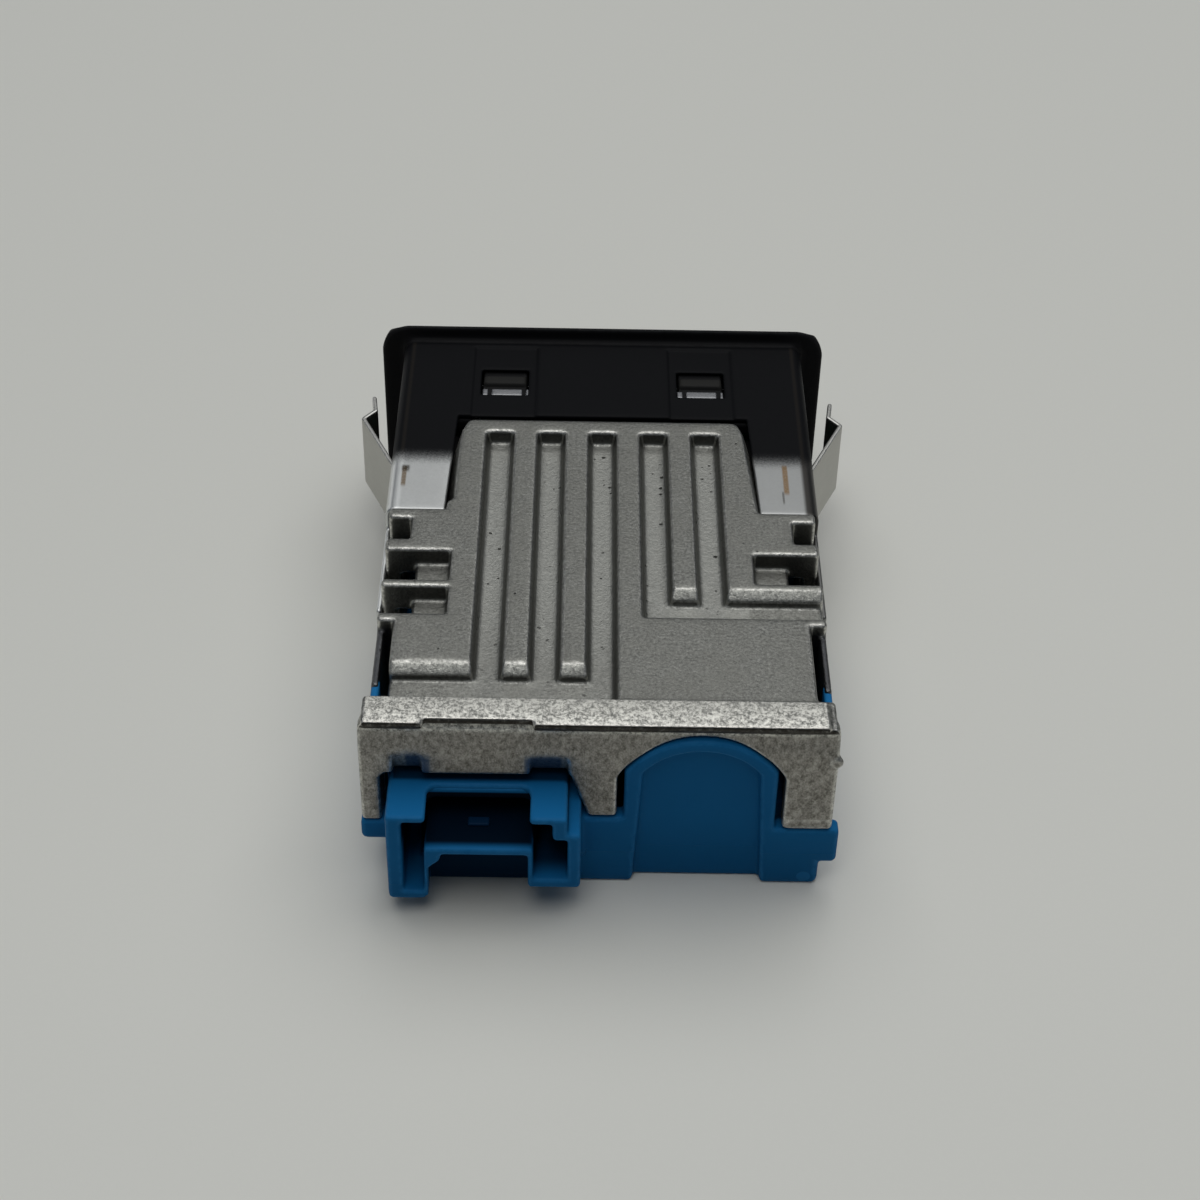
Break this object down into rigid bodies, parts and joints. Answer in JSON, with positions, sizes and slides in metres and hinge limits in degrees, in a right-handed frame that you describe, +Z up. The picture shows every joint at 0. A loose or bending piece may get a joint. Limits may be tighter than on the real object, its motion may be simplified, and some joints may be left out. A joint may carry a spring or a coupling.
{
  "type": "car usb socket",
  "caption": "USB charging socket for a car console: flanged black front, grooved cast cooling cover, blue rear housing with a keyed connector, sprung side arms.",
  "frame": {"origin": "middle of the bounding box in plan, on the plane it rests on", "axes": "+Y out of the face with the ports, +Z up with the cast cover on top, +X to the right seen from the rear connector"},
  "size_m": [0.0486, 0.0662, 0.0192],
  "materials": {
    "black_plastic": "fine satin texture",
    "dark_plastic": "semi-gloss",
    "sleeve_steel": "bright rolled sheet, front half coated black",
    "spring_steel": "satin",
    "cast_metal": "matte die-cast",
    "blue_plastic": "satin",
    "board_laminate": "solder resist",
    "contact_metal": "plated",
    "shell_steel": "drawn sheet",
    "tongue_plastic": "moulded",
    "pad_rubber": "soft pad",
    "coil_ferrite": "pressed powder",
    "chip_plastic": "moulded",
    "can_aluminium": "drawn can",
    "chip_ceramic": "ceramic"
  },
  "bodies": {
    "socket": {"bezel_frame": "black_plastic", "port_face": "dark_plastic", "front_sleeve": "sleeve_steel", "cast_cover": "cast_metal", "rear_housing": "blue_plastic", "circuit_board": "board_laminate", "header_pins": "contact_metal", "left_port_shell": "shell_steel", "left_port_tongue": "tongue_plastic", "left_port_contacts": "contact_metal", "right_port_shell": "shell_steel", "right_port_tongue": "tongue_plastic", "right_port_contacts": "contact_metal", "thermal_pad": "pad_rubber", "power_inductors": "coil_ferrite", "converter_chips": "chip_plastic", "power_transistors": "chip_plastic", "filter_capacitors": "can_aluminium", "chip_components": "chip_ceramic"},
    "left_arm": {"left_spring_arm": "spring_steel"},
    "right_arm": {"right_spring_arm": "spring_steel"}
  },
  "joints": [
    {"name": "left_arm_flex", "type": "hinge", "parent": "socket", "child": "left_arm", "pos_m": [-0.0189, 0.0087, 0.01105], "axis": [0, 0, -1], "range_deg": [0, 14], "stiffness_Nm_per_rad": 0.2},
    {"name": "right_arm_flex", "type": "hinge", "parent": "socket", "child": "right_arm", "pos_m": [0.0189, 0.0087, 0.01105], "axis": [0, 0, 1], "range_deg": [0, 14], "stiffness_Nm_per_rad": 0.2}
  ]
}
